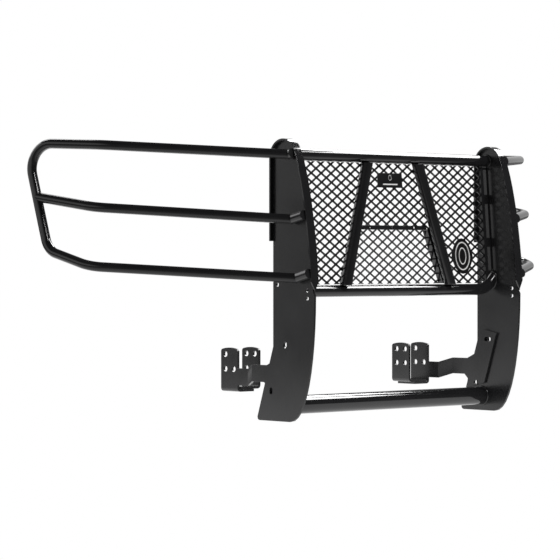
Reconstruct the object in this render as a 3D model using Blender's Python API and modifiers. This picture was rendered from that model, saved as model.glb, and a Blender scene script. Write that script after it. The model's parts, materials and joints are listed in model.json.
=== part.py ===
"""Front grille guard for a pickup truck.

Two profiled upright plates carry three cross tubes, a diamond-mesh grille and a
wrap-around brush guard on each side.  Hanger plates bolt to the inner faces of the
uprights and end in saddle clamps that hold the truck's two frame horns.

Frame: metres, X to the viewer's right when facing the guard, Y towards the truck,
Z up.  The origin is the middle of the span between the two frame horns, level with
the centre of the four-hole bolt pattern of the saddles.
"""
import math

import bmesh
import bpy
from mathutils import Matrix, Vector

# ---- driving dimensions (metres) -------------------------------------------------
DATUM_Y = 0.2915          # saddle bolt pattern, behind the crown of the uprights
DATUM_Z = 0.182           # saddle bolt pattern, above the lower edge of the uprights
GAP = 0.0003              # clearance left at every welded or bolted contact

UPRIGHT_X = 0.470         # upright plate centre from the middle of the guard
PLATE_T = 0.008
RIM_T = 0.00635
RIM_WIDTH = 0.03175
CROWN_Y = -0.013
CROWN_Z = 0.838
CROWN_R = 0.062
REAR_Y = 0.0413
KNEE_Z = 0.238

CROSS_OD = 0.0381
BOTTOM_OD = 0.0603
WING_OD = 0.03175
TOP_TUBE = (-0.001, 0.851)
MIDDLE_TUBE = (-0.029, 0.414)
MIDDLE_BEND_X = 0.394     # where the middle tube starts to turn up towards the uprights
MIDDLE_BEND_R = 0.091
MIDDLE_BEND_A = 45.0      # degrees
BOTTOM_TUBE = (0.022, 0.050)

MESH_TOP_Z = 0.8285       # height at which the mesh has the depth MESH_TOP_Y
MESH_EDGE_Z = 0.8316      # upper edge of the mesh, just under the top tube
MESH_LOW_Z = 0.4355
MESH_TOP_Y = 0.0027
MESH_LEAN = 0.0767        # how far the mesh comes forward for each metre it drops
MESH_T = 0.003
MESH_HALF = 0.4445         # the mesh ends under the edge strips
DIAMOND_W = 0.087         # twice the real pitch, the mesh is kept light here
DIAMOND_H = 0.0588
STRAND = 0.0124

TRAY_DEPTH = 0.0236
TRAY_TOP_Z = 0.617
TRAY_TOP_HALF = 0.167
TRAY_LOW_HALF = 0.230
FLANGE = 0.012            # width of the tray's side flange

SADDLE_OUT_X = 0.4383
SADDLE_IN_X = 0.3466
SADDLE_FRONT = 0.251
SADDLE_REAR = 0.334
SADDLE_TOP = 0.2225
SADDLE_CROWN = 0.005
HOLE_R = 0.0094


def g(x, y, z):
    """Point given from the crown line and lower edge of the uprights."""
    return Vector((x, y - DATUM_Y, z - DATUM_Z))


# ---- scene and materials -----------------------------------------------------------
for old in list(bpy.data.objects):
    bpy.data.objects.remove(old, do_unlink=True)

parts = bpy.data.collections.new("front_grille_guard")
bpy.context.scene.collection.children.link(parts)
cutters = bpy.data.collections.new("cutters")
bpy.context.scene.collection.children.link(cutters)
root = bpy.data.objects.new("front_grille_guard", None)
parts.objects.link(root)


def finish(name, colour, rough):
    """Plain powder-coat style material for one part."""
    mat = bpy.data.materials.new(name)
    mat.use_nodes = True
    shader = mat.node_tree.nodes["Principled BSDF"]
    shader.inputs["Base Color"].default_value = (*colour, 1.0)
    shader.inputs["Roughness"].default_value = rough
    return mat


def keep(name, mesh, colour=(0.012, 0.012, 0.013), rough=0.3):
    """Register a finished closed mesh as one named part."""
    bm = bmesh.new()
    bm.from_mesh(mesh)
    bmesh.ops.remove_doubles(bm, verts=bm.verts, dist=0.00002)
    bmesh.ops.recalc_face_normals(bm, faces=bm.faces)
    bm.to_mesh(mesh)
    bm.free()
    obj = bpy.data.objects.new(name, mesh)
    mesh.materials.clear()
    mesh.materials.append(finish("coat_" + name, colour, rough))
    parts.objects.link(obj)
    obj.parent = root
    return obj


def evaluated(obj, name):
    """Mesh of an object after its modifiers and curve settings."""
    graph = bpy.context.evaluated_depsgraph_get()
    mesh = bpy.data.meshes.new_from_object(obj.evaluated_get(graph))
    mesh.name = name
    bpy.data.objects.remove(obj, do_unlink=True)
    return mesh


def mirrored(mesh, side, name):
    """Copy of a right-hand mesh, reflected to the left when side is -1."""
    copy = mesh.copy()
    copy.name = name
    if side < 0:
        copy.transform(Matrix.Scale(-1.0, 4, (1.0, 0.0, 0.0)))
        copy.flip_normals()
    return copy


# ---- shape helpers -----------------------------------------------------------------
def bezier(p0, p1, p2, p3, steps):
    """Points along a cubic curve, without the last one."""
    pts = []
    for i in range(steps):
        t = i / steps
        s = 1.0 - t
        y = s**3 * p0[0] + 3 * s * s * t * p1[0] + 3 * s * t * t * p2[0] + t**3 * p3[0]
        z = s**3 * p0[1] + 3 * s * s * t * p1[1] + 3 * s * t * t * p2[1] + t**3 * p3[1]
        pts.append((y, z))
    return pts


def arc(cy, cz, r, a0, a1, steps):
    """Points along an arc in a side view, angles in degrees."""
    pts = []
    for i in range(steps + 1):
        a = math.radians(a0 + (a1 - a0) * i / steps)
        pts.append((cy + r * math.cos(a), cz + r * math.sin(a)))
    return pts


def side_plate(points, x, thickness):
    """Flat plate whose outline is given in the side view (y, z)."""
    bm = bmesh.new()
    near = [bm.verts.new(g(x - thickness / 2, y, z)) for y, z in points]
    face = bm.faces.new(near)
    moved = bmesh.ops.extrude_face_region(bm, geom=[face])
    verts = [v for v in moved["geom"] if isinstance(v, bmesh.types.BMVert)]
    bmesh.ops.translate(bm, verts=verts, vec=(thickness, 0.0, 0.0))
    bmesh.ops.recalc_face_normals(bm, faces=bm.faces)
    mesh = bpy.data.meshes.new("plate")
    bm.to_mesh(mesh)
    bm.free()
    return mesh


def front_prism(points, y0, y1):
    """Straight prism along Y whose outline is given in the front view (x, z)."""
    bm = bmesh.new()
    near = [bm.verts.new(g(x, y0, z)) for x, z in points]
    face = bm.faces.new(near)
    moved = bmesh.ops.extrude_face_region(bm, geom=[face])
    verts = [v for v in moved["geom"] if isinstance(v, bmesh.types.BMVert)]
    bmesh.ops.translate(bm, verts=verts, vec=(0.0, y1 - y0, 0.0))
    bmesh.ops.recalc_face_normals(bm, faces=bm.faces)
    mesh = bpy.data.meshes.new("prism")
    bm.to_mesh(mesh)
    bm.free()
    return mesh


def block(x0, x1, y0, y1, z0, z1):
    """Box between two corners of the guard's own frame."""
    pts = [(y0, z0), (y1, z0), (y1, z1), (y0, z1)]
    return side_plate(pts, (x0 + x1) / 2, x1 - x0)


def bend_points(points, radii, steps=5):
    """Centre line of a bent tube, each inner corner turned into an arc."""
    out = [points[0]]
    for i in range(1, len(points) - 1):
        p = points[i]
        a = (points[i - 1] - p).normalized()
        b = (points[i + 1] - p).normalized()
        half = a.angle(b) / 2.0
        r = radii[i - 1]
        centre = p + (a + b).normalized() * (r / math.sin(half))
        v0 = p + a * (r / math.tan(half)) - centre
        v1 = p + b * (r / math.tan(half)) - centre
        axis = v0.cross(v1).normalized()
        turn = v0.angle(v1)
        for k in range(steps + 1):
            out.append(centre + Matrix.Rotation(turn * k / steps, 3, axis) @ v0)
    out.append(points[-1])
    return out


def tube(points, diameter, sides=16):
    """Closed round bar along a line of points, mitred wherever the line turns."""
    way = (points[1] - points[0]).normalized()
    across = Vector((1.0, 0.0, 0.0))
    if abs(way.x) > 0.9:
        across = Vector((0.0, 0.0, 1.0))
    across = (across - way * across.dot(way)).normalized()
    other = way.cross(across)
    bm = bmesh.new()
    spots = []
    for i in range(sides):
        a = 2.0 * math.pi * i / sides
        spots.append(points[0] + (across * math.cos(a) + other * math.sin(a)) * diameter / 2)
    rings = [[bm.verts.new(p) for p in spots]]
    for i in range(1, len(points)):
        way = (points[i] - points[i - 1]).normalized()
        normal = way
        if i < len(points) - 1:
            normal = (way + (points[i + 1] - points[i]).normalized()).normalized()
        spots = [p + way * ((points[i] - p).dot(normal) / way.dot(normal)) for p in spots]
        rings.append([bm.verts.new(p) for p in spots])
    bm.faces.new(rings[0])
    bm.faces.new(rings[-1])
    for low, high in zip(rings, rings[1:]):
        for i in range(sides):
            bm.faces.new([low[i - 1], low[i], high[i], high[i - 1]])
    bmesh.ops.recalc_face_normals(bm, faces=bm.faces)
    mesh = bpy.data.meshes.new("tube")
    bm.to_mesh(mesh)
    bm.free()
    return mesh


def rod(a, b, radius, sides=16):
    """Straight cylinder between two points, used for holes."""
    axis = b - a
    bm = bmesh.new()
    bmesh.ops.create_cone(bm, cap_ends=True, segments=sides, radius1=radius,
                          radius2=radius, depth=axis.length)
    turn = Vector((0, 0, 1)).rotation_difference(axis.normalized()).to_matrix().to_4x4()
    bmesh.ops.transform(bm, matrix=Matrix.Translation((a + b) / 2) @ turn, verts=bm.verts)
    mesh = bpy.data.meshes.new("rod")
    bm.to_mesh(mesh)
    bm.free()
    return mesh


def slot(x, y, z, length, width, upright):
    """Straight-sided slot cutter with round ends, running along X."""
    reach = (length - width) / 2
    pts = []
    for i in range(12):
        a = math.radians(30 * i)
        along = math.cos(a) * width / 2 + (reach if math.cos(a) > 0 else -reach)
        across = math.sin(a) * width / 2
        if abs(math.cos(a)) < 1e-6:
            pts.append((reach if math.sin(a) > 0 else -reach, across))
            pts.append((-reach if math.sin(a) > 0 else reach, across))
        else:
            pts.append((along, across))
    if upright:
        pts = [(-v, u) for u, v in pts]
    return side_plate([(y + u, z + v) for u, v in pts], x, 0.03)


def joined(meshes):
    """Several loose meshes collected into one."""
    bm = bmesh.new()
    for mesh in meshes:
        bm.from_mesh(mesh)
    out = bpy.data.meshes.new("joined")
    bm.to_mesh(out)
    bm.free()
    return out


def cut(mesh, tool):
    """Subtract a tool mesh."""
    body = bpy.data.objects.new("body", mesh)
    parts.objects.link(body)
    knife = bpy.data.objects.new("cutter", tool)
    cutters.objects.link(knife)
    knife.hide_render = True
    knife.display_type = "WIRE"
    mod = body.modifiers.new("cut", "BOOLEAN")
    mod.operation = "DIFFERENCE"
    mod.solver = "EXACT"
    mod.object = knife
    out = evaluated(body, "cut")
    bpy.data.objects.remove(knife, do_unlink=True)
    return out


# ---- uprights ----------------------------------------------------------------------
LEAN = 24.7               # slope of the front edge where it leaves the crown, degrees
BELLY = (-0.1525, 0.4128)  # most forward point of the upright
lean = math.radians(LEAN)


def front_edge(inset, steps):
    """Front edge from crown to belly, set in from the rim's outer face."""
    r = CROWN_R - inset
    start = (CROWN_Y - r * math.cos(lean), CROWN_Z + r * math.sin(lean))
    c1 = (start[0] - 0.1511 * math.sin(lean), start[1] - 0.1511 * math.cos(lean))
    end = (BELLY[0] + inset, BELLY[1])
    return bezier(start, c1, (end[0], end[1] + 0.038), end, steps) + [end]


def rim_line(inset):
    """Rim face from its lower rear end, over the crown, to its lower front end."""
    r = CROWN_R - inset
    rear = [(CROWN_Y + r, 0.574)]
    crown = arc(CROWN_Y, CROWN_Z, r, 0.0, 180.0 - LEAN, 14)
    return rear + crown + front_edge(inset, 14)[1:]


def upright_outline():
    """Side outline of one upright plate, clear of the rim that caps it."""
    inset = RIM_T + GAP
    r = CROWN_R - inset
    pts = [(CROWN_Y + r, KNEE_Z)]
    pts += arc(CROWN_Y, CROWN_Z, r, 0.0, 180.0 - LEAN, 14)
    pts += front_edge(inset, 14)[1:-1]
    low = (BELLY[0] + 0.001, BELLY[1] - 0.012)
    pts.append((BELLY[0] + inset + 0.0002, BELLY[1] - 0.001))
    pts += bezier(low, (low[0], low[1] - 0.21), (-0.111, 0.0), (-0.036, 0.0), 12)
    pts.append((-0.036, 0.0))
    pts.append((0.104, 0.0))
    pts += arc(0.1075, 0.0105, 0.0105, -75.0, 15.0, 4)
    return pts


plate = side_plate(upright_outline(), UPRIGHT_X, PLATE_T)
holes = joined([
    rod(g(0.44, 0.0219, 0.4358), g(0.50, 0.0219, 0.4358), 0.0065),
    rod(g(0.44, -0.1185, 0.4180), g(0.50, -0.1185, 0.4180), 0.0065),
    rod(g(0.44, -0.1185, 0.3925), g(0.50, -0.1185, 0.3925), 0.0065),
    slot(UPRIGHT_X, -0.0142, 0.2445, 0.022, 0.014, True),
    slot(UPRIGHT_X, 0.0530, 0.0960, 0.022, 0.014, True),
])
plate = cut(plate, holes)
outer = rim_line(0.0)
inner = rim_line(RIM_T)
rim = side_plate(outer + inner[::-1], UPRIGHT_X, RIM_WIDTH)
wing = RIM_WIDTH / 2 + 0.002
point = []
for turn in (-1, 1):
    corner = [(UPRIGHT_X + turn * wing, 0.405), (UPRIGHT_X + turn * 0.001, 0.405),
              (UPRIGHT_X + turn * 0.001, 0.418), (UPRIGHT_X + turn * wing, 0.450)]
    point.append(front_prism(corner, -0.18, -0.12))
rim = cut(rim, joined(point))
SIDES = (("left", -1), ("right", 1))
for word, side in SIDES:
    keep("upright_plate_" + word, mirrored(plate, side, "upright"))
    keep("upright_rim_" + word, mirrored(rim, side, "rim"))

# ---- cross tubes -------------------------------------------------------------------
END_X = UPRIGHT_X - PLATE_T / 2 - GAP
for name, (y, z), od in (("top_tube", TOP_TUBE, CROSS_OD),
                         ("bottom_tube", BOTTOM_TUBE, BOTTOM_OD)):
    keep(name, tube([g(-END_X, y, z), g(END_X, y, z)], od, 20))


def middle_bend(offset, steps=6):
    """Points (x, z) beside the right-hand bend, offset towards its inside."""
    r = MIDDLE_BEND_R - offset
    pts = []
    for i in range(steps + 1):
        a = math.radians(MIDDLE_BEND_A * i / steps)
        pts.append((MIDDLE_BEND_X + r * math.sin(a),
                    MIDDLE_TUBE[1] + MIDDLE_BEND_R - r * math.cos(a)))
    return pts


# the middle tube turns up at both ends and is cut flush against the uprights
right_end = middle_bend(0.0)
last_x, last_z = right_end[-1]
climb = math.tan(math.radians(MIDDLE_BEND_A))
right_end.append((END_X + 0.040, last_z + (END_X + 0.040 - last_x) * climb))
left_end = [(-x, z) for x, z in right_end[::-1]]
bent = tube([g(x, MIDDLE_TUBE[0], z) for x, z in left_end + right_end], CROSS_OD, 20)
ends = joined([block(END_X, END_X + 0.2, -0.2, 0.2, 0.3, 0.7),
               block(-END_X - 0.2, -END_X, -0.2, 0.2, 0.3, 0.7)])
keep("middle_tube", cut(bent, ends))


# ---- diamond mesh ------------------------------------------------------------------
def mesh_y(z):
    """Depth of the mesh plane at a height."""
    return MESH_TOP_Y - MESH_LEAN * (MESH_TOP_Z - z)


def clip(poly, nx, nz, c):
    """Part of a convex outline where nx*x + nz*z <= c."""
    out = []
    for i, p in enumerate(poly):
        q = poly[(i + 1) % len(poly)]
        dp = nx * p[0] + nz * p[1] - c
        dq = nx * q[0] + nz * q[1] - c
        if dp <= 0:
            out.append(p)
        if dp * dq < 0:
            t = dp / (dp - dq)
            out.append((p[0] + t * (q[0] - p[0]), p[1] + t * (q[1] - p[1])))
    return out


def area(poly):
    """Area of an outline."""
    total = 0.0
    for i, p in enumerate(poly):
        q = poly[(i + 1) % len(poly)]
        total += p[0] * q[1] - q[0] * p[1]
    return abs(total) / 2


def diamonds(limits):
    """Diamond openings kept inside a list of half planes."""
    cells = []
    hw = DIAMOND_W / 2 - STRAND * 0.9
    hh = DIAMOND_H / 2 - STRAND * 0.6
    for row in range(-16, 17):
        for col in range(-12, 13):
            x = (col + 0.5 * (row % 2)) * DIAMOND_W
            z = 0.632 + row * DIAMOND_H / 2
            cell = [(x - hw, z), (x, z - hh), (x + hw, z), (x, z + hh)]
            for nx, nz, c in limits:
                cell = clip(cell, nx, nz, c)
                if len(cell) < 3:
                    break
            if len(cell) >= 3 and area(cell) > 0.00012:
                cells.append(cell)
    return cells


def openings(cells, push):
    """Cutters for the mesh openings."""
    bm = bmesh.new()
    for cell in cells:
        near = [bm.verts.new(g(x, mesh_y(z) + push - 0.01, z)) for x, z in cell]
        far = [bm.verts.new(g(x, mesh_y(z) + push + 0.01, z)) for x, z in cell]
        n = len(cell)
        bm.faces.new(near)
        bm.faces.new(far[::-1])
        for i in range(n):
            bm.faces.new([near[i - 1], far[i - 1], far[i], near[i]][::-1])
    bmesh.ops.recalc_face_normals(bm, faces=bm.faces)
    mesh = bpy.data.meshes.new("openings")
    bm.to_mesh(mesh)
    bm.free()
    return mesh


def sheet(outline, push, thickness):
    """Sheet following the mesh plane, outline given in the front view."""
    bm = bmesh.new()
    near = [bm.verts.new(g(x, mesh_y(z) + push - thickness / 2, z)) for x, z in outline]
    face = bm.faces.new(near)
    moved = bmesh.ops.extrude_face_region(bm, geom=[face])
    verts = [v for v in moved["geom"] if isinstance(v, bmesh.types.BMVert)]
    bmesh.ops.translate(bm, verts=verts, vec=(0.0, thickness, 0.0))
    bmesh.ops.recalc_face_normals(bm, faces=bm.faces)
    mesh = bpy.data.meshes.new("sheet")
    bm.to_mesh(mesh)
    bm.free()
    return mesh


def leaning_bar(profile, low, high):
    """Bar of constant profile (x, push) between two points (x, z) of the mesh plane."""
    bm = bmesh.new()
    rings = []
    for x, z in (low, high):
        rings.append([bm.verts.new(g(x + dx, mesh_y(z) + push, z)) for dx, push in profile])
    bm.faces.new(rings[0])
    bm.faces.new(rings[1])
    for i in range(len(profile)):
        bm.faces.new([rings[0][i - 1], rings[0][i], rings[1][i], rings[1][i - 1]])
    bmesh.ops.recalc_face_normals(bm, faces=bm.faces)
    mesh = bpy.data.meshes.new("bar")
    bm.to_mesh(mesh)
    bm.free()
    return mesh


slope = (TRAY_LOW_HALF - TRAY_TOP_HALF) / (TRAY_TOP_Z - MESH_LOW_Z)
edge = TRAY_TOP_HALF + slope * TRAY_TOP_Z      # side of the opening: |x| + slope*z = edge
BORDER = 0.006            # solid edge left round each run of openings
shy = MESH_LOW_Z - MIDDLE_TUBE[1]     # the mesh stops just short of the middle tube
corner = middle_bend(shy)
corner_x, corner_z = corner[-1]
corner.append((MESH_HALF, corner_z + (MESH_HALF - corner_x) * climb))
outline = [(-x, z) for x, z in corner[::-1]]
outline += [(-TRAY_LOW_HALF, MESH_LOW_Z), (-TRAY_TOP_HALF, TRAY_TOP_Z),
            (TRAY_TOP_HALF, TRAY_TOP_Z), (TRAY_LOW_HALF, MESH_LOW_Z)]
outline += corner + [(MESH_HALF, MESH_EDGE_Z), (-MESH_HALF, MESH_EDGE_Z)]
box = [(1, 0, MESH_HALF - BORDER), (-1, 0, MESH_HALF - BORDER),
       (0, 1, MESH_EDGE_Z - BORDER), (0, -1, -MESH_LOW_Z - BORDER)]
for degrees in (22.5, 45.0):
    nx = math.sin(math.radians(degrees))
    nz = -math.cos(math.radians(degrees))
    r = MIDDLE_BEND_R - shy
    touch = (MIDDLE_BEND_X + r * nx, MIDDLE_TUBE[1] + MIDDLE_BEND_R + r * nz)
    limit = nx * touch[0] + nz * touch[1] - BORDER
    box += [(nx, nz, limit), (-nx, nz, limit)]
split = TRAY_TOP_Z + BORDER
above = diamonds(box + [(0, -1, -split - 0.002)])
right = diamonds(box + [(0, 1, split - 0.002), (-1, -slope, -edge - BORDER)])
left = diamonds(box + [(0, 1, split - 0.002), (1, -slope, -edge - BORDER)])
grille = cut(sheet(outline, 0.0, MESH_T), openings(above + right + left, 0.0))
keep("grille_mesh", grille)

# recessed access panel: a shallow tray with its own mesh
t = 0.003                 # tray wall
IN = 0.0006               # tray set in from the sides of its opening
tray_outline = [(-TRAY_LOW_HALF + IN, MESH_LOW_Z), (TRAY_LOW_HALF - IN, MESH_LOW_Z),
                (TRAY_TOP_HALF - IN, TRAY_TOP_Z - IN), (-TRAY_TOP_HALF + IN, TRAY_TOP_Z - IN)]
tray_box = [(1, slope, edge - 0.007), (-1, slope, edge - 0.007),
            (0, 1, TRAY_TOP_Z - 0.007), (0, -1, -MESH_LOW_Z - 0.006)]
tray = cut(sheet(tray_outline, TRAY_DEPTH, MESH_T),
           openings(diamonds(tray_box), TRAY_DEPTH))
keep("tray_mesh", tray, (0.05, 0.05, 0.05))

depth = TRAY_DEPTH - MESH_T / 2 - GAP
front = -MESH_T / 2

# side wall of the tray, with a flange that laps the back of the grille mesh
lap = MESH_T / 2 + GAP
section = [(-t, front), (0.0, front), (0.0, lap), (FLANGE, lap), (FLANGE, lap + 0.002),
           (0.0, lap + 0.002), (0.0, depth), (-t, depth)]
low_z = MESH_LOW_Z
high_z = TRAY_TOP_Z - IN - t - GAP
wall = leaning_bar(section, (edge - slope * low_z - IN, low_z),
                   (edge - slope * high_z - IN, high_z))
lip_half = TRAY_TOP_HALF - IN
lip_top = TRAY_TOP_Z - IN
lip_outline = [(-lip_half, lip_top - t), (lip_half, lip_top - t),
               (lip_half, lip_top), (-lip_half, lip_top)]
keep("tray_top_wall", sheet(lip_outline, (front + depth) / 2, depth - front))
strip_outline = [(-0.158, 0.6145), (0.158, 0.6145), (0.158, 0.6275), (-0.158, 0.6275)]
strip_push = -MESH_T / 2 - GAP - 0.0015
strip = sheet(strip_outline, strip_push, 0.003)
strip_holes = joined([rod(g(x, -0.04, 0.621), g(x, 0.01, 0.621), 0.0034, 10)
                      for x in (-0.101, 0.0, 0.101)])
keep("tray_flange", cut(strip, strip_holes))

# slotted strips that hold the mesh and reach across to the uprights
STRIP_T = 0.003
STRIP_IN_X = 0.4330
STRIP_OUT_X = 0.4654
strip_low = middle_bend(shy)[-1]
low_in = strip_low[1] + (STRIP_IN_X - strip_low[0]) * climb + 0.003
low_out = strip_low[1] + (STRIP_OUT_X - strip_low[0]) * climb + 0.003
edge_strip = sheet([(STRIP_IN_X, low_in), (STRIP_OUT_X, low_out), (STRIP_OUT_X, 0.8290),
                    (STRIP_IN_X, 0.8290)], -MESH_T / 2 - GAP - STRIP_T / 2, STRIP_T)
windows = []
for z0, z1 in ((0.4790, 0.5585), (0.5895, 0.704), (0.736, 0.8210)):
    windows.append(front_prism([(0.4462, z0), (0.4602, z0), (0.4602, z1), (0.4462, z1)],
                               -0.08, 0.05))
edge_strip = cut(edge_strip, joined(windows))

# slanted tubes in front of the mesh, cut level under the top tube and on the middle one
SLANT_TOP = 0.832 - GAP
SLANT_LOW = 0.433 + GAP
PUSH = -(MESH_T / 2 + CROSS_OD / 2 + 0.0006)
slant_a = g(0.116, mesh_y(SLANT_TOP) + PUSH, SLANT_TOP)
slant_b = g(0.240, mesh_y(SLANT_LOW) + PUSH, SLANT_LOW)
way = (slant_b - slant_a).normalized() * 0.02
slant = tube([slant_a - way, slant_b + way], CROSS_OD)
trim = joined([block(0.0, 0.4, -0.2, 0.2, SLANT_TOP, SLANT_TOP + 0.1),
               block(0.0, 0.4, -0.2, 0.2, SLANT_LOW - 0.1, SLANT_LOW)])
slant = cut(slant, trim)

# plain badge plate near the top and a pointed plaque low on the right
badge = sheet([(-0.056, 0.752), (0.056, 0.752), (0.056, 0.800), (-0.056, 0.800)],
              strip_push, 0.003)
keep("badge_plate", badge, (0.02, 0.02, 0.02))
plaque_outline = []
for i in range(24):
    a = math.radians(15 * i)
    plaque_outline.append((0.323 + 0.050 * math.cos(a) * (1.0 - 0.16 * abs(math.sin(a))),
                           0.527 + 0.060 * math.sin(a)))
keep("plaque", sheet(plaque_outline, strip_push, 0.003), (0.02, 0.02, 0.02))

# ---- brush guards ------------------------------------------------------------------
# Each tube meets the upright in a mitred stub that lies along its outer face and
# ends on the inner face of the rim.
STUB_X = UPRIGHT_X + PLATE_T / 2 + GAP + WING_OD / 2
OUT_X = 1.035
rim_gap = RIM_T + GAP
ahead = arc(CROWN_Y, CROWN_Z, CROWN_R - rim_gap, 90.0, 180.0 - LEAN, 10)
ahead += front_edge(rim_gap, 14)[1:]
ahead += [(-0.30, BELLY[1]), (-0.30, 0.95), (CROWN_Y, 0.95)]
trim = side_plate(ahead, 0.490, 0.060)


top_corner = g(STUB_X, -0.0490, 0.8480)
low_corner = g(STUB_X, -0.0839, 0.4565)
loop_line = [top_corner, g(0.9665, 0.3053, 0.8757), g(OUT_X, 0.604, 0.8891),
             g(OUT_X, 0.486, 0.544), g(1.0145, 0.2995, 0.494), low_corner]
loop_line = [g(STUB_X, -0.0850, 0.8555), *bend_points(loop_line, [0.09, 0.075, 0.07, 0.09]),
             g(STUB_X, -0.1600, 0.4748)]
loop = tube(loop_line, WING_OD)
loop = cut(loop, trim.copy())
mid_line = [g(STUB_X, -0.0620, 0.6427), g(0.9918, 0.3032, 0.6795), g(OUT_X, 0.545, 0.715)]
middle = tube([g(STUB_X, -0.1350, 0.6588), *bend_points(mid_line, [0.09])], WING_OD)
cope = rod(g(OUT_X, 0.604, 0.8891), g(OUT_X, 0.486, 0.544), WING_OD / 2 + 0.0006, 20)
middle = cut(middle, cope)
middle = cut(middle, trim)

# ---- hanger plates and saddle clamps ------------------------------------------------
ARM_X = UPRIGHT_X - PLATE_T - GAP
front_part = [(0.154, 0.1765), (0.083, 0.1770), (0.046, 0.1937), (0.0045, 0.2770),
              (-0.0550, 0.2650), (-0.0510, 0.2580), (-0.0120, 0.1382), (0.0030, 0.0947),
              (0.0860, 0.0762), (0.0800, 0.1070), (0.0960, 0.1220), (0.154, 0.1220)]
crown = []
for i in range(9):
    u = i / 8
    lift = SADDLE_CROWN * (1.0 - (2.0 * u - 1.0) ** 2)
    y = SADDLE_FRONT + 0.004 + (SADDLE_REAR - SADDLE_FRONT - 0.008) * u
    crown.append((y, SADDLE_TOP + lift))


def surface(faces, thickness):
    """Thick bent sheet from flat faces that share their fold lines."""
    bm = bmesh.new()
    for face in faces:
        bm.faces.new([bm.verts.new(g(*p)) for p in face])
    bmesh.ops.remove_doubles(bm, verts=bm.verts, dist=0.00001)
    bmesh.ops.recalc_face_normals(bm, faces=bm.faces)
    mesh = bpy.data.meshes.new("surface")
    bm.to_mesh(mesh)
    bm.free()
    obj = bpy.data.objects.new("surface", mesh)
    parts.objects.link(obj)
    mod = obj.modifiers.new("thick", "SOLIDIFY")
    mod.thickness = thickness
    mod.offset = 0.0
    mod.use_even_offset = True
    return evaluated(obj, "surface")


def saddle_faces(x, bottom, toe_x, neck):
    """Upright leg, rounded fold and level toe of one saddle half."""
    fold = 0.008
    low = bottom + fold
    leg = [(x, SADDLE_FRONT, low)]
    if neck:
        leg += [(x, SADDLE_FRONT, neck[0]), (x, SADDLE_FRONT, neck[1])]
    leg += [(x, SADDLE_FRONT, SADDLE_TOP - 0.005)]
    leg += [(x, y, z) for y, z in crown]
    leg += [(x, SADDLE_REAR, SADDLE_TOP - 0.005), (x, SADDLE_REAR, low)]
    faces = [leg]
    sign = 1.0 if toe_x > x else -1.0
    line = []
    for i in range(5):
        a = math.radians(22.5 * i)
        line.append((x + sign * fold * (1 - math.cos(a)), low - fold * math.sin(a)))
    line.append((toe_x, bottom))
    for p, q in zip(line, line[1:]):
        faces.append([(p[0], SADDLE_FRONT, p[1]), (q[0], SADDLE_FRONT, q[1]),
                      (q[0], SADDLE_REAR, q[1]), (p[0], SADDLE_REAR, p[1])])
    return faces


neck_low = 0.106
neck_high = 0.161
joggle = [(SADDLE_OUT_X, 0.200, neck_low), (SADDLE_OUT_X, 0.200, neck_high),
          (ARM_X, 0.154, 0.1765), (ARM_X, 0.154, 0.1220)]
neck_face = [(SADDLE_OUT_X, SADDLE_FRONT, neck_low), (SADDLE_OUT_X, SADDLE_FRONT, neck_high),
             (SADDLE_OUT_X, 0.200, neck_high), (SADDLE_OUT_X, 0.200, neck_low)]
hanger = surface(saddle_faces(SADDLE_OUT_X, 0.0880, 0.371, (neck_low, neck_high))
                 + [neck_face, joggle, [(ARM_X, y, z) for y, z in front_part]], PLATE_T)
clamp = surface(saddle_faces(SADDLE_IN_X, 0.0963, 0.4295, None), PLATE_T)
rows = (0.158, 0.206)
columns = (0.271, 0.312)
hanger = cut(hanger, joined([
    rod(g(0.42, columns[1], rows[0]), g(0.46, columns[1], rows[0]), HOLE_R),
    rod(g(0.42, columns[1], rows[1]), g(0.46, columns[1], rows[1]), HOLE_R),
    rod(g(0.42, columns[0], rows[0]), g(0.46, columns[0], rows[0]), HOLE_R),
    slot(ARM_X, -0.0125, 0.2440, 0.030, 0.015, False),
    slot(ARM_X, 0.0360, 0.0950, 0.030, 0.014, False),
]))
clamp = cut(clamp, joined([rod(g(0.33, y, z), g(0.36, y, z), HOLE_R)
                           for y in columns for z in rows]))

for word, side in SIDES:
    keep("brush_guard_loop_" + word, mirrored(loop, side, "loop"))
    keep("brush_guard_bar_" + word, mirrored(middle, side, "bar"))
    keep("slanted_tube_" + word, mirrored(slant, side, "slant"))
    keep("tray_side_" + word, mirrored(wall, side, "wall"))
    keep("hanger_plate_" + word, mirrored(hanger, side, "hanger"))
    keep("saddle_clamp_" + word, mirrored(clamp, side, "clamp"))
    keep("mesh_edge_strip_" + word, mirrored(edge_strip, side, "strip"))
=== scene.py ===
"""Front grille guard for a pickup truck: the look of every part, built round its CAD.

Everything is steel under black powder coat: two profiled uprights with flat-bar
rims, three cross tubes, a diamond-mesh grille with a recessed access tray, wrap-around
brush guards, and hanger plates that end in saddle clamps.
"""

import json
import math

import bmesh
import bpy
from mathutils import Matrix, Vector

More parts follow.
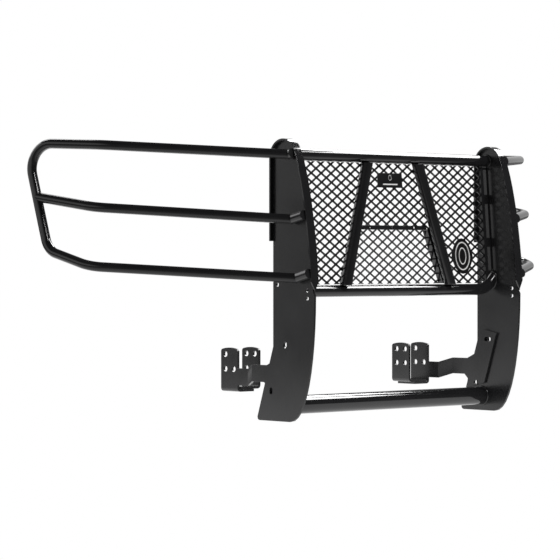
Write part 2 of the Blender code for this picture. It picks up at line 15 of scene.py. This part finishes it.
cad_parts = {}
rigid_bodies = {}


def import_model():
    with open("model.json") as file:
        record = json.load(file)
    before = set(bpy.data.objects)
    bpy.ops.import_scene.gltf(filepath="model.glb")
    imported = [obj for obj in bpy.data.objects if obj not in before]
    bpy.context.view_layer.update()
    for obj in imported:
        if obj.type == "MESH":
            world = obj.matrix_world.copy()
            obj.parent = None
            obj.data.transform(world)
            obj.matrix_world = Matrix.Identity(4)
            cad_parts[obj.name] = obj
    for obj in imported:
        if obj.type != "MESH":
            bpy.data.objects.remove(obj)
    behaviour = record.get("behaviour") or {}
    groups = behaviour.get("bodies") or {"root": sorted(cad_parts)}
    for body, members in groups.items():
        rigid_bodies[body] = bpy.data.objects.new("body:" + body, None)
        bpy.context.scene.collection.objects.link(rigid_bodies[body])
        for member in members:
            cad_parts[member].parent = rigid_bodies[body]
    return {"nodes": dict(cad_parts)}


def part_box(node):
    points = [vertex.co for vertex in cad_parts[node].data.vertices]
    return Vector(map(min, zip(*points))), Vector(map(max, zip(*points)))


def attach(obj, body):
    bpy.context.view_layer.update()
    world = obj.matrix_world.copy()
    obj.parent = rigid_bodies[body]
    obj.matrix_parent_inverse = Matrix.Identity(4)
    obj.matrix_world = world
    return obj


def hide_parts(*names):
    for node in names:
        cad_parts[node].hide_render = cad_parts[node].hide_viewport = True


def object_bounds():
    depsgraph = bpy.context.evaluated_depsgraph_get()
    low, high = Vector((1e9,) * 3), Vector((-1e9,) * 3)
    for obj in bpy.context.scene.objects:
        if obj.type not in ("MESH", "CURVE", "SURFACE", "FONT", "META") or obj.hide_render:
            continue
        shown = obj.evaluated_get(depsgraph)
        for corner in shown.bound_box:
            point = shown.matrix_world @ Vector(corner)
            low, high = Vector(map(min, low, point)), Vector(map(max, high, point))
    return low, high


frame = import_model()
cad_low, cad_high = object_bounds()
for thing in bpy.context.scene.objects:
    thing.select_set(False)
scene = bpy.context.scene

# ---- dimensions shared with the CAD, in metres ---------------------------------------
DATUM_Y = 0.2915
DATUM_Z = 0.182
STUB_X = 0.490175         # centre line of the stubs, along the plate's outer face
PLATE_INNER = 0.4657      # inner face of the right upright, where cross tubes stop
BEAD_IN = 0.0012          # centre of a weld bead, in from that face
WING_OD = 0.0311          # over the coat, inside the CAD's own skin
CROSS_OD = 0.0381
MESH_TOP_Y = 0.0027
MESH_TOP_Z = 0.8285
MESH_EDGE_Z = 0.8314
MESH_LOW_Z = 0.4355
MESH_LEAN = 0.0767
MESH_T = 0.003
SHEET_T = 0.003           # badge plate and plaque
GAP = 0.0003              # clearance that the CAD leaves at a welded contact
EASE = 0.0006             # clearance beside the meshes
DIAMOND_W = 0.0435        # pitch of the mesh openings
DIAMOND_H = 0.0294
STRAND = 0.0060           # width of the metal between openings
TRAY_STRAND = 0.0052
ROW_ZERO = 0.632
TRAY_DEPTH = 0.0236


def g(x, y, z):
    """Point given from the crown line and the lower edge of the uprights."""
    return Vector((x, y - DATUM_Y, z - DATUM_Z))


def mesh_y(z):
    """Depth of the leaning mesh plane at a height."""
    return MESH_TOP_Y - MESH_LEAN * (MESH_TOP_Z - z)


# ---- camera --------------------------------------------------------------------------
camera_data = bpy.data.cameras.new("studio_camera")
camera = bpy.data.objects.new("studio_camera", camera_data)
scene.collection.objects.link(camera)
camera.location = (-6.111, -6.5425, 0.335)
camera.rotation_euler = (math.radians(90.0), 0.0, math.radians(-42.0))
camera_data.sensor_width = 36.0
camera_data.lens = 170.2
camera_data.shift_y = -0.0375
camera_data.clip_end = 100.0
scene.camera = camera


# ---- materials -----------------------------------------------------------------------
def srgb(code):
    """Linear colour of an sRGB hex value."""
    values = [int(code[i:i + 2], 16) / 255.0 for i in (1, 3, 5)]
    return tuple(v / 12.92 if v <= 0.04045 else ((v + 0.055) / 1.055) ** 2.4
                 for v in values) + (1.0,)


def add(tree, kind, settings=None, inputs=None, links=None):
    """One node with its settings, its socket values and what feeds it."""
    node = tree.nodes.new(kind)
    for key, value in (settings or {}).items():
        setattr(node, key, value)
    for key, value in (inputs or {}).items():
        node.inputs[key].default_value = value
    for key, source in (links or {}).items():
        tree.links.new(source, node.inputs[key])
    return node


def powder_coat(name, dark, light, rough, peel, peel_mm=2.2, speck_mm=0.9):
    """Baked polyester powder coat on steel: a skin with soft orange peel."""
    mat = bpy.data.materials.new(name)
    mat.use_nodes = True
    tree = mat.node_tree
    tree.nodes.clear()
    place = add(tree, "ShaderNodeTexCoord").outputs["Object"]
    # cloud: film thickness drifts over a hand's width and moves tone and gloss a little
    cloud = add(tree, "ShaderNodeTexNoise", inputs={"Scale": 9.0, "Detail": 3.0},
                links={"Vector": place})
    # speck: grains that melted less, about a millimetre apart
    speck = add(tree, "ShaderNodeTexNoise",
                inputs={"Scale": 1.0 / (speck_mm * 0.001), "Detail": 1.0},
                links={"Vector": place})
    blend = add(tree, "ShaderNodeMath", {"operation": "MULTIPLY_ADD"},
                {1: 0.35}, {0: speck.outputs["Fac"], 2: cloud.outputs["Fac"]})
    tone = add(tree, "ShaderNodeValToRGB", links={"Fac": blend.outputs[0]})
    tone.color_ramp.elements[0].position = 0.45
    tone.color_ramp.elements[0].color = srgb(dark)
    tone.color_ramp.elements[1].position = 0.9
    tone.color_ramp.elements[1].color = srgb(light)
    gloss = add(tree, "ShaderNodeMapRange",
                inputs={"From Min": 0.45, "From Max": 0.9, "To Min": rough * 0.88,
                        "To Max": rough * 1.14},
                links={"Value": blend.outputs[0]})
    # orange peel: ripples two to three millimetres across, some tens of microns deep
    ripple = add(tree, "ShaderNodeTexNoise",
                 inputs={"Scale": 1.0 / (peel_mm * 0.001), "Detail": 1.5, "Roughness": 0.4},
                 links={"Vector": place})
    skin = add(tree, "ShaderNodeBump",
               inputs={"Strength": peel, "Distance": 0.00008},
               links={"Height": ripple.outputs["Fac"]})
    shader = add(tree, "ShaderNodeBsdfPrincipled", inputs={"IOR": 1.5},
                 links={"Base Color": tone.outputs["Color"],
                        "Roughness": gloss.outputs["Result"],
                        "Normal": skin.outputs["Normal"]})
    add(tree, "ShaderNodeOutputMaterial", links={"Surface": shader.outputs["BSDF"]})
    return mat


COAT_DARK = "#181819"
COAT_LIGHT = "#1e1e1f"
# Gloss black polyester powder on tube, flat bar and the tray's walls: near-black with a
# clear, slightly rippled reflection.
gloss_black = powder_coat("gloss_black_powder_coat_on_steel", COAT_DARK, COAT_LIGHT,
                          0.09, 0.08)
# On the laser-cut plates the film is thicker and flows less, so reflections go soft.
plate_black = powder_coat("black_powder_coat_on_laser_cut_plate", COAT_DARK, COAT_LIGHT,
                          0.24, 0.15)
# The same powder on expanded mesh comes out a little duller, as it pools at the knots.
mesh_black = powder_coat("black_powder_coat_on_expanded_mesh", "#101011", "#171718",
                         0.32, 0.35)
# The tray's mesh has a thinner, greyer coat.
tray_grey = powder_coat("thin_grey_black_powder_coat_on_tray_mesh", "#2f3031", "#3a3b3c",
                        0.4, 0.35)
# Badge and plaque: satin black enamel on stamped steel.
satin_enamel = powder_coat("satin_black_enamel_on_stamped_steel", "#0d0d0e", "#141415",
                           0.35, 0.15)
# Raised lines of badge and plaque: off-white enamel wiped over the high parts.
pale_enamel = powder_coat("off_white_enamel_on_raised_lines", "#d9d9d8", "#ececeb",
                          0.4, 0.1)


# ---- modelling helpers ---------------------------------------------------------------
def only(piece):
    """Make one piece the only selected and active object."""
    for other in bpy.context.selected_objects:
        other.select_set(False)
    piece.select_set(True)
    bpy.context.view_layer.objects.active = piece


def edit(piece, kind="FACE"):
    """Open a piece for editing with nothing selected."""
    only(piece)
    bpy.ops.object.mode_set(mode="EDIT")
    bpy.ops.mesh.select_mode(type=kind)
    bpy.ops.mesh.select_all(action="DESELECT")


def pick(piece, kind, wanted):
    """Select the faces, edges or corners of an open piece that pass a test."""
    bm = bmesh.from_edit_mesh(piece.data)
    group = {"FACE": bm.faces, "EDGE": bm.edges, "VERT": bm.verts}[kind]
    for part in group:
        if wanted(part):
            part.select_set(True)
    bm.select_flush_mode()
    bmesh.update_edit_mesh(piece.data)


def close():
    """Leave edit mode."""
    bpy.ops.object.mode_set(mode="OBJECT")


def settle(piece, name):
    """Name a finished shape and put its place into its mesh."""
    only(piece)
    bpy.ops.object.transform_apply(location=True, rotation=True, scale=True)
    piece.name = name
    piece.data.name = name
    return piece


def bevelled(piece, width, segments=2, crease=50.0):
    """Round the sharp edges and keep the broad faces flat."""
    only(piece)
    round_over = piece.modifiers.new("round_over", "BEVEL")
    round_over.width = width
    round_over.segments = segments
    round_over.limit_method = "ANGLE"
    round_over.angle_limit = math.radians(35.0)
    bpy.ops.object.modifier_apply(modifier=round_over.name)
    bpy.ops.object.shade_smooth_by_angle(angle=math.radians(crease))
    flat = piece.modifiers.new("flat_faces", "WEIGHTED_NORMAL")
    flat.keep_sharp = True
    bpy.ops.object.modifier_apply(modifier=flat.name)


def join(pieces, name):
    """Several shapes made into one piece."""
    only(pieces[0])
    for other in pieces[1:]:
        other.select_set(True)
    bpy.ops.object.join()
    return settle(bpy.context.object, name)


def mirrored_copy(piece, name):
    """The left-hand twin of a right-hand piece."""
    only(piece)
    bpy.ops.object.duplicate()
    twin = bpy.context.object
    twin.scale.x = -1.0
    settle(twin, name)
    edit(twin)
    bpy.ops.mesh.select_all(action="SELECT")
    bpy.ops.mesh.normals_make_consistent(inside=False)
    close()
    return twin


def finish_piece(piece, mat, slot, *nodes):
    """Coat a piece and tie it to the CAD nodes that it stands for."""
    if not piece.data.materials:
        piece.data.materials.append(mat)
    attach(piece, "root")
    if nodes:
        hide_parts(*nodes)


def bent_tube(name, line, radii, diameter, sides=36):
    """Mandrel-bent tube: a ring pushed along each straight and swung round each bend."""
    heading = (line[1] - line[0]).normalized()
    bpy.ops.mesh.primitive_circle_add(vertices=sides, radius=diameter / 2, location=line[0],
                                      rotation=heading.to_track_quat("Z", "Y").to_euler())
    piece = settle(bpy.context.object, name)
    edit(piece, "EDGE")
    bpy.ops.mesh.select_all(action="SELECT")
    here = line[0]
    for i, radius in enumerate(radii, 1):
        corner = line[i]
        back = (line[i - 1] - corner).normalized()
        ahead = (line[i + 1] - corner).normalized()
        half = back.angle(ahead) / 2
        start = corner + back * (radius / math.tan(half))
        end = corner + ahead * (radius / math.tan(half))
        centre = corner + (back + ahead).normalized() * (radius / math.sin(half))
        turn = math.pi - 2 * half
        bpy.ops.mesh.extrude_edges_move(TRANSFORM_OT_translate={"value": start - here})
        bpy.ops.mesh.spin(steps=max(4, round(math.degrees(turn) / 5)), angle=turn,
                          center=centre, axis=(end - centre).cross(start - centre).normalized())
        here = end
    bpy.ops.mesh.extrude_edges_move(TRANSFORM_OT_translate={"value": line[-1] - here})
    bpy.ops.mesh.edge_face_add()
    bpy.ops.mesh.select_all(action="SELECT")
    bpy.ops.mesh.remove_doubles(threshold=0.00001)
    bpy.ops.mesh.select_all(action="DESELECT")
    bpy.ops.mesh.select_mode(type="EDGE")
    bpy.ops.mesh.select_non_manifold(extend=False, use_wire=False, use_multi_face=False,
                                     use_non_contiguous=False, use_verts=False)
    bpy.ops.mesh.edge_face_add()
    bpy.ops.mesh.select_all(action="SELECT")
    bpy.ops.mesh.normals_make_consistent(inside=False)
    close()
    return piece


def trim(piece, point, normal, reach=100.0):
    """Saw the faces near a point off along a plane and cap the cut."""
    edit(piece)
    spot = Vector(point)
    pick(piece, "FACE", lambda f: min((v.co - spot).length for v in f.verts) < reach)
    bpy.ops.mesh.bisect(plane_co=point, plane_no=normal, use_fill=True,
                        clear_inner=False, clear_outer=True)
    bpy.ops.mesh.select_all(action="SELECT")
    bpy.ops.mesh.normals_make_consistent(inside=False)
    close()


def ring_weld(centre, facing, radius, bead_radius=0.0032):
    """Fillet weld round a tube, with the ripples of the weld pool."""
    turn = facing.to_track_quat("Z", "Y")
    bpy.ops.mesh.primitive_torus_add(location=centre, rotation=turn.to_euler(),
                                     major_radius=radius, minor_radius=bead_radius,
                                     major_segments=64, minor_segments=10)
    bead = settle(bpy.context.object, "bead")
    edit(bead, "VERT")

    def ripple(vert):
        """Every other ring of the bead."""
        spot = turn.inverted() @ (vert.co - centre)
        return round(math.atan2(spot.y, spot.x) / (2 * math.pi / 64)) % 2 == 0

    pick(bead, "VERT", ripple)
    bpy.ops.transform.shrink_fatten(value=-0.0004)
    close()
    return bead


def smooth(piece, angle=40.0):
    """Round shading with crisp cuts."""
    only(piece)
    bpy.ops.object.shade_smooth_by_angle(angle=math.radians(angle))


# ---- cross tubes ---------------------------------------------------------------------
for node, sides in (("top_tube", 48), ("bottom_tube", 64)):
    low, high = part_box(node)
    centre = (low + high) / 2
    diameter = high.z - low.z
    bar = bent_tube("bar", [Vector((low.x, centre.y, centre.z)),
                            Vector((high.x, centre.y, centre.z))], [], diameter, sides)
    welds = []
    for side in (-1, 1):
        spot = Vector((side * (PLATE_INNER - BEAD_IN), centre.y, centre.z))
        welds.append(ring_weld(spot, Vector((1.0, 0.0, 0.0)), diameter / 2 + 0.001))
    bar = join([bar] + welds, node + "_coated")
    smooth(bar)
    finish_piece(bar, gloss_black, "black_powder_coat", node)

# The middle tube is bent up at both ends and welded to the uprights on the slope.
MIDDLE_Y = -0.029
MIDDLE_Z = 0.414
BEND_X = 0.394
BEND_R = 0.091
TURN_X = BEND_X + BEND_R * math.tan(math.radians(22.5))
REACH = 0.06
middle = bent_tube("bar", [g(-TURN_X - REACH, MIDDLE_Y, MIDDLE_Z + REACH),
                           g(-TURN_X, MIDDLE_Y, MIDDLE_Z), g(TURN_X, MIDDLE_Y, MIDDLE_Z),
                           g(TURN_X + REACH, MIDDLE_Y, MIDDLE_Z + REACH)],
                   [BEND_R, BEND_R], CROSS_OD, 48)
welds = []
for side in (-1, 1):
    trim(middle, (side * PLATE_INNER, 0.0, 0.0), (side, 0.0, 0.0))
    spot = g(side * (PLATE_INNER - BEAD_IN), MIDDLE_Y, MIDDLE_Z + PLATE_INNER - TURN_X)
    bead = ring_weld(spot, Vector((1.0, 0.0, 0.0)), CROSS_OD / 2 + 0.0008)
    bead.data.transform(Matrix.Translation(spot) @ Matrix.Scale(math.sqrt(2.0), 4, (0, 0, 1))
                        @ Matrix.Translation(-spot))
    welds.append(bead)
middle = join([middle] + welds, "middle_tube_coated")
smooth(middle)
finish_piece(middle, gloss_black, "black_powder_coat", "middle_tube")

# ---- brush guards --------------------------------------------------------------------
# Each tube ends in a mitred stub that lies along the outer face of the upright and
# stops against the inner face of its rim.
def stub(corner, rim_end, run, start):
    """Stub from a corner to the rim, and the first straight of the tube up to its bend."""
    way = (rim_end - corner).normalized()
    stub_piece = bent_tube("stub", [rim_end, corner + way * -WING_OD], [], WING_OD)
    out = (start - corner).normalized()
    normal = out - way
    trim(stub_piece, corner, normal)
    trim(run, corner, -normal, 0.06)
    seam = ring_weld(corner, normal.normalized(), WING_OD / 2 + 0.0002, 0.0011)
    return [stub_piece, seam]


TOP_CORNER = g(STUB_X, -0.0490, 0.8480)
LOW_CORNER = g(STUB_X, -0.0839, 0.4565)
MID_CORNER = g(STUB_X, -0.0620, 0.6427)
TOP_RIM = g(STUB_X, -0.0660, 0.8515)
LOW_RIM = g(STUB_X, -0.1432, 0.4708)
MID_RIM = g(STUB_X, -0.1196, 0.6554)
loop_line = [g(0.9665, 0.3053, 0.8757), g(1.035, 0.604, 0.8891), g(1.035, 0.486, 0.544),
             g(1.0145, 0.2995, 0.494)]
spare_top = TOP_CORNER + (TOP_CORNER - loop_line[0]).normalized() * WING_OD
spare_low = LOW_CORNER + (LOW_CORNER - loop_line[3]).normalized() * WING_OD
loop = bent_tube("loop", [spare_top] + loop_line + [spare_low], [0.09, 0.075, 0.07, 0.09],
                 WING_OD)
pieces = stub(TOP_CORNER, TOP_RIM, loop, loop_line[0])
pieces += stub(LOW_CORNER, LOW_RIM, loop, loop_line[3])
loop = join([loop] + pieces, "brush_guard_loop_right_coated")
rail_line = [g(0.9918, 0.3032, 0.6795), g(1.035, 0.545, 0.715)]
spare_mid = MID_CORNER + (MID_CORNER - rail_line[0]).normalized() * WING_OD
rail = bent_tube("rail", [spare_mid] + rail_line, [0.09], WING_OD)
rail = join([rail] + stub(MID_CORNER, MID_RIM, rail, rail_line[0]),
            "brush_guard_bar_right_coated")
for piece, word in ((loop, "brush_guard_loop"), (rail, "brush_guard_bar")):
    smooth(piece)
    twin = mirrored_copy(piece, word + "_left_coated")
    finish_piece(piece, gloss_black, "black_powder_coat", word + "_right")
    finish_piece(twin, gloss_black, "black_powder_coat", word + "_left")

# ---- slanted tubes -------------------------------------------------------------------
SLANT_PUSH = -(MESH_T / 2 + CROSS_OD / 2 + EASE)
SLANT_TOP = 0.8317
SLANT_LOW = 0.4333
top_end = g(0.116, mesh_y(SLANT_TOP) + SLANT_PUSH, SLANT_TOP)
low_end = g(0.240, mesh_y(SLANT_LOW) + SLANT_PUSH, SLANT_LOW)
spare = (low_end - top_end).normalized() * 0.02
slant = bent_tube("slanted_tube_right_coated", [top_end - spare, low_end + spare], [], CROSS_OD)
trim(slant, top_end, (0.0, 0.0, 1.0))
trim(slant, low_end, (0.0, 0.0, -1.0))
smooth(slant)
twin = mirrored_copy(slant, "slanted_tube_left_coated")
finish_piece(slant, gloss_black, "black_powder_coat", "slanted_tube_right")
finish_piece(twin, gloss_black, "black_powder_coat", "slanted_tube_left")


# ---- plates and flat bars ------------------------------------------------------------
def dressed(node, width, segments=2, crease=50.0):
    """Copy of a CAD plate with its facets merged and its edges eased."""
    piece = bpy.data.objects.new(node + "_coated", frame["nodes"][node].data.copy())
    scene.collection.objects.link(piece)
    piece.data.materials.clear()
    edit(piece)
    bpy.ops.mesh.customdata_custom_splitnormals_clear()
    bpy.ops.mesh.select_all(action="SELECT")
    bpy.ops.mesh.remove_doubles(threshold=0.00002)
    bpy.ops.mesh.dissolve_limited(angle_limit=math.radians(0.6))
    close()
    piece.data.name = node + "_coated"
    bevelled(piece, width, segments, crease)
    return piece


for node, width, segments, crease, coat in (
        ("upright_plate", 0.0006, 2, 50.0, plate_black),
        ("upright_rim", 0.0012, 2, 50.0, gloss_black),
        ("hanger_plate", 0.0006, 4, 25.0, plate_black),
        ("saddle_clamp", 0.0006, 4, 25.0, plate_black),
        ("mesh_edge_strip", 0.0004, 2, 50.0, plate_black),
        ("tray_side", 0.0004, 2, 50.0, gloss_black)):
    for word in ("left", "right"):
        piece = dressed(node + "_" + word, width, segments, crease)
        finish_piece(piece, coat, "black_powder_coat", node + "_" + word)
for node in ("tray_top_wall", "tray_flange"):
    finish_piece(dressed(node, 0.0005), gloss_black, "black_powder_coat", node)


# ---- diamond mesh --------------------------------------------------------------------
def lattice(name, columns, rows, strand):
    """Expanded steel mesh, standing upright: one ringed diamond, repeated and thickened."""
    bpy.ops.mesh.primitive_circle_add(vertices=4, radius=1.0, fill_type="NGON",
                                      rotation=(math.pi / 2, 0.0, 0.0))
    piece = bpy.context.object
    piece.scale = (DIAMOND_W / 2, DIAMOND_H / 2, 1.0)
    settle(piece, name)
    edit(piece)
    bpy.ops.mesh.select_all(action="SELECT")
    bpy.ops.mesh.inset(thickness=strand / 2, use_even_offset=True)
    bpy.ops.mesh.delete(type="FACE")
    # the cut corners of each opening are eased, as the die leaves them
    bpy.ops.mesh.select_mode(type="VERT")
    pick(piece, "VERT", lambda v: abs(v.co.x) / (DIAMOND_W / 2)
         + abs(v.co.z) / (DIAMOND_H / 2) < 0.95)
    bpy.ops.mesh.bevel(offset=0.0014, segments=1, affect="VERTICES")
    close()
    for count, step in ((2, (DIAMOND_W / 2, 0.0, DIAMOND_H / 2)),
                        (columns, (DIAMOND_W, 0.0, 0.0)), (rows, (0.0, 0.0, DIAMOND_H))):
        spread = piece.modifiers.new("spread", "ARRAY")
        spread.count = count
        spread.use_relative_offset = False
        spread.use_constant_offset = True
        spread.constant_offset_displace = step
        spread.use_merge_vertices = True
        spread.merge_threshold = 0.0001
        only(piece)
        bpy.ops.object.modifier_apply(modifier=spread.name)
    piece.location = (-(columns // 2) * DIAMOND_W, 0.0,
                      ROW_ZERO - (rows // 2) * DIAMOND_H)
    settle(piece, name)
    return piece


def slice_off(piece, point, normal):
    """Cut a flat lattice along a line and drop what lies beyond it."""
    edit(piece)
    bpy.ops.mesh.select_all(action="SELECT")
    bpy.ops.mesh.bisect(plane_co=point, plane_no=normal, clear_outer=True)
    close()


def lean_and_thicken(piece, push, name):
    """Give the lattice its wall, eased edges and lean, and set it in place."""
    wall = piece.modifiers.new("wall", "SOLIDIFY")
    wall.thickness = MESH_T
    wall.offset = 0.0
    only(piece)
    bpy.ops.object.modifier_apply(modifier=wall.name)
    eased = piece.modifiers.new("eased", "BEVEL")
    eased.width = 0.0006
    eased.segments = 1
    eased.limit_method = "ANGLE"
    eased.angle_limit = math.radians(60.0)
    bpy.ops.object.modifier_apply(modifier=eased.name)
    piece.data.transform(Matrix.Translation((0.0, 0.0, -MESH_TOP_Z)))
    piece.rotation_euler.x = -math.atan(MESH_LEAN)
    piece.scale.z = 1.0 / math.cos(math.atan(MESH_LEAN))
    piece.location = g(0.0, MESH_TOP_Y + push, MESH_TOP_Z)
    settle(piece, name)


EDGE_HALF = 0.4440        # the lattice ends under the edge strips
TRAY_HIGH_Z = 0.617       # top edge of the tray opening
TRAY_TOP = 0.6164         # where both lattices are cut, just under that edge
TRAY_TOP_HALF = 0.167     # half widths of the opening at its top and foot
TRAY_LOW_HALF = 0.230
TRAY_SLOPE = (TRAY_LOW_HALF - TRAY_TOP_HALF) / (TRAY_HIGH_Z - MESH_LOW_Z)
tray_side = Vector((1.0, 0.0, TRAY_SLOPE)).normalized()


def framed(piece):
    """Trim a lattice to the opening between the uprights and the cross tubes."""
    slice_off(piece, (EDGE_HALF, 0.0, 0.0), (1.0, 0.0, 0.0))
    slice_off(piece, (-EDGE_HALF, 0.0, 0.0), (-1.0, 0.0, 0.0))
    slice_off(piece, (0.0, 0.0, MESH_EDGE_Z), (0.0, 0.0, 1.0))
    slice_off(piece, (0.0, 0.0, MESH_LOW_Z), (0.0, 0.0, -1.0))
    # the lower corners follow the bends of the middle tube
    for degrees in (15.0, 30.0, 45.0):
        along = math.sin(math.radians(degrees))
        down = -math.cos(math.radians(degrees))
        radius = BEND_R - (MESH_LOW_Z - MIDDLE_Z)
        for side in (-1, 1):
            slice_off(piece, (side * (BEND_X + radius * along), 0.0,
                              MIDDLE_Z + BEND_R + radius * down), (side * along, 0.0, down))


grille = lattice("grille", 24, 17, STRAND)
framed(grille)
for point, normal in (((0.0, 0.0, TRAY_TOP), (0.0, 0.0, 1.0)),
                      ((TRAY_TOP_HALF, 0.0, TRAY_TOP), tray_side),
                      ((-TRAY_TOP_HALF, 0.0, TRAY_TOP),
                       (-tray_side.x, 0.0, tray_side.z))):
    edit(grille)
    bpy.ops.mesh.select_all(action="SELECT")
    bpy.ops.mesh.bisect(plane_co=point, plane_no=normal)
    close()
edit(grille)
pick(grille, "FACE", lambda f: f.calc_center_median().z < TRAY_TOP
     and abs(f.calc_center_median().x)
     < TRAY_TOP_HALF + TRAY_SLOPE * (TRAY_TOP - f.calc_center_median().z))
bpy.ops.mesh.delete(type="FACE")
close()
lean_and_thicken(grille, 0.0, "grille_mesh_coated")
finish_piece(grille, mesh_black, "black_powder_coat", "grille_mesh")

tray = lattice("tray", 14, 17, TRAY_STRAND)
framed(tray)
slice_off(tray, (0.0, 0.0, TRAY_TOP), (0.0, 0.0, 1.0))
slice_off(tray, (TRAY_TOP_HALF - EASE, 0.0, TRAY_TOP), tray_side)
slice_off(tray, (-TRAY_TOP_HALF + EASE, 0.0, TRAY_TOP),
          (-tray_side.x, 0.0, tray_side.z))
lean_and_thicken(tray, TRAY_DEPTH, "tray_mesh_coated")
finish_piece(tray, tray_grey, "grey_mesh_coat", "tray_mesh")


# ---- badge plate and plaque ----------------------------------------------------------
FACE_PUSH = -(MESH_T / 2 + GAP + SHEET_T)


def faceplate(node, border, lift):
    """Stamped plate with a raised rim round a sunk field."""
    piece = dressed(node, 0.0004)
    piece.data.materials.append(satin_enamel)
    edit(piece)
    pick(piece, "FACE", lambda f: f.normal.y < -0.95)
    bpy.ops.mesh.inset(thickness=border, use_even_offset=True)
    bpy.ops.transform.translate(value=(0.0, lift, 0.0))
    close()
    return piece


def raised_oval(x, z, half_width, half_height, line):
    """Plain oval line standing on the face of a plate."""
    bpy.ops.mesh.primitive_torus_add(location=g(x, mesh_y(z) + FACE_PUSH, z),
                                     rotation=(math.pi / 2 - math.atan(MESH_LEAN), 0.0, 0.0),
                                     major_radius=half_height, minor_radius=line / 2,
                                     major_segments=72, minor_segments=8)
    oval = bpy.context.object
    oval.scale = (half_width / half_height, 1.0, 0.7)
    settle(oval, "oval")
    oval.data.materials.append(pale_enamel)
    smooth(oval, 60.0)
    return oval


def raised_rule(x, z, length, height):
    """Plain straight line standing on the face of a plate."""
    bpy.ops.mesh.primitive_cube_add(size=1.0, location=g(x, mesh_y(z) + FACE_PUSH, z),
                                    rotation=(-math.atan(MESH_LEAN), 0.0, 0.0))
    rule = bpy.context.object
    rule.scale = (length, 0.0012, height)
    settle(rule, "rule")
    rule.data.materials.append(pale_enamel)
    bevelled(rule, 0.0003)
    return rule


FIELD_SINK = 0.0006       # depth of the sunk field of a stamped plate
badge = join([faceplate("badge_plate", 0.002, FIELD_SINK),
              raised_oval(0.0, 0.7850, 0.0065, 0.0085, 0.0018),
              raised_rule(0.0, 0.7630, 0.066, 0.0042)], "badge_plate_coated")
finish_piece(badge, satin_enamel, "badge_coat", "badge_plate")
PLAQUE_X = 0.323
PLAQUE_Z = 0.527
plaque = join([faceplate("plaque", 0.003, FIELD_SINK),
               raised_oval(PLAQUE_X, PLAQUE_Z, 0.0330, 0.0460, 0.0050),
               raised_oval(PLAQUE_X, PLAQUE_Z, 0.0160, 0.0270, 0.0045)], "plaque_coated")
finish_piece(plaque, satin_enamel, "badge_coat", "plaque")

# ---- studio --------------------------------------------------------------------------
bpy.ops.mesh.primitive_plane_add(size=60.0, location=(0.0, 0.0, cad_low.z))
floor = bpy.context.object
floor.name = "studio_floor"
floor_mat = bpy.data.materials.new("white_studio_floor")
floor_mat.use_nodes = True
tree = floor_mat.node_tree
tree.nodes.clear()
spot = add(tree, "ShaderNodeTexCoord").outputs["Object"]
# painted light: the floor glows. To the camera it is an even white; to every other ray it is a
# painted pool of light, brightest behind the guard and a little to its right, falling off all
# round, that lights the guard from below and casts no shadows
drift = add(tree, "ShaderNodeVectorMath", {"operation": "ADD"}, {1: (-0.35, -0.9, 0.0)},
            {0: spot})
reach = add(tree, "ShaderNodeVectorMath", {"operation": "LENGTH"},
            links={0: drift.outputs["Vector"]})
spread = add(tree, "ShaderNodeMapRange",
             inputs={"From Min": 0.6, "From Max": 3.2, "To Min": 1.6, "To Max": 0.15},
             links={"Value": reach.outputs["Value"]})
direct = add(tree, "ShaderNodeLightPath").outputs["Is Camera Ray"]
level = add(tree, "ShaderNodeMix", {"data_type": "FLOAT"}, {3: 1.0},
            {0: direct, 2: spread.outputs["Result"]})
# emission that paints the floor's pool of light
painted_floor_glow = add(tree, "ShaderNodeEmission", inputs={"Color": srgb("#ffffff")},
           links={"Strength": level.outputs[0]})
add(tree, "ShaderNodeOutputMaterial", links={"Surface": painted_floor_glow.outputs["Emission"]})
floor.data.materials.append(floor_mat)

world = bpy.data.worlds.new("white_studio")
scene.world = world
world.use_nodes = True
tree = world.node_tree
tree.nodes.clear()
direction = add(tree, "ShaderNodeTexCoord").outputs["Generated"]
toward = add(tree, "ShaderNodeVectorMath", {"operation": "DOT_PRODUCT"},
             {1: (-0.55, 0.83, 0.0)}, {0: direction})
behind = add(tree, "ShaderNodeMapRange",
             inputs={"From Min": -0.35, "From Max": 0.35, "To Min": 0.06, "To Max": 0.84},
             links={"Value": toward.outputs["Value"]})
height = add(tree, "ShaderNodeSeparateXYZ", links={0: direction})
low_sky = add(tree, "ShaderNodeMapRange",
              inputs={"From Min": 0.35, "From Max": 0.6, "To Min": 1.0, "To Max": 0.06},
              links={"Value": height.outputs["Z"]})
studio = add(tree, "ShaderNodeMath", {"operation": "MULTIPLY"},
             links={0: behind.outputs["Result"], 1: low_sky.outputs["Result"]})
seen = add(tree, "ShaderNodeLightPath")
strength = add(tree, "ShaderNodeMath", {"operation": "MAXIMUM"},
               links={0: studio.outputs[0], 1: seen.outputs["Is Camera Ray"]})
backdrop = add(tree, "ShaderNodeBackground", inputs={"Color": srgb("#ffffff")},
               links={"Strength": strength.outputs[0]})
add(tree, "ShaderNodeOutputWorld", links={"Surface": backdrop.outputs["Background"]})


def softbox(name, azimuth, elevation, distance, width, height, radiance):
    """Large rectangular lamp aimed at the middle of the guard."""
    lamp_data = bpy.data.lights.new(name, "AREA")
    lamp_data.shape = "RECTANGLE"
    lamp_data.size = width
    lamp_data.size_y = height
    lamp_data.energy = radiance * math.pi * width * height
    lamp = bpy.data.objects.new(name, lamp_data)
    scene.collection.objects.link(lamp)
    a = math.radians(azimuth)
    e = math.radians(elevation)
    back = Vector((math.cos(a) * math.cos(e), math.sin(a) * math.cos(e), math.sin(e)))
    lamp.location = back * distance + Vector((0.0, -0.2, 0.3))
    lamp.rotation_euler = back.to_track_quat("Z", "Y").to_euler()


softbox("right_softbox", 4.0, 46.0, 5.0, 5.6, 1.0, 20.0)
softbox("rear_softbox", 90.0, 41.0, 5.0, 2.6, 0.8, 4.5)
softbox("rear_fill", 112.0, 24.0, 5.0, 3.2, 1.6, 1.8)
softbox("front_fill", -85.0, 45.0, 6.0, 2.0, 2.0, 20.0)

scene.view_settings.view_transform = "Standard"
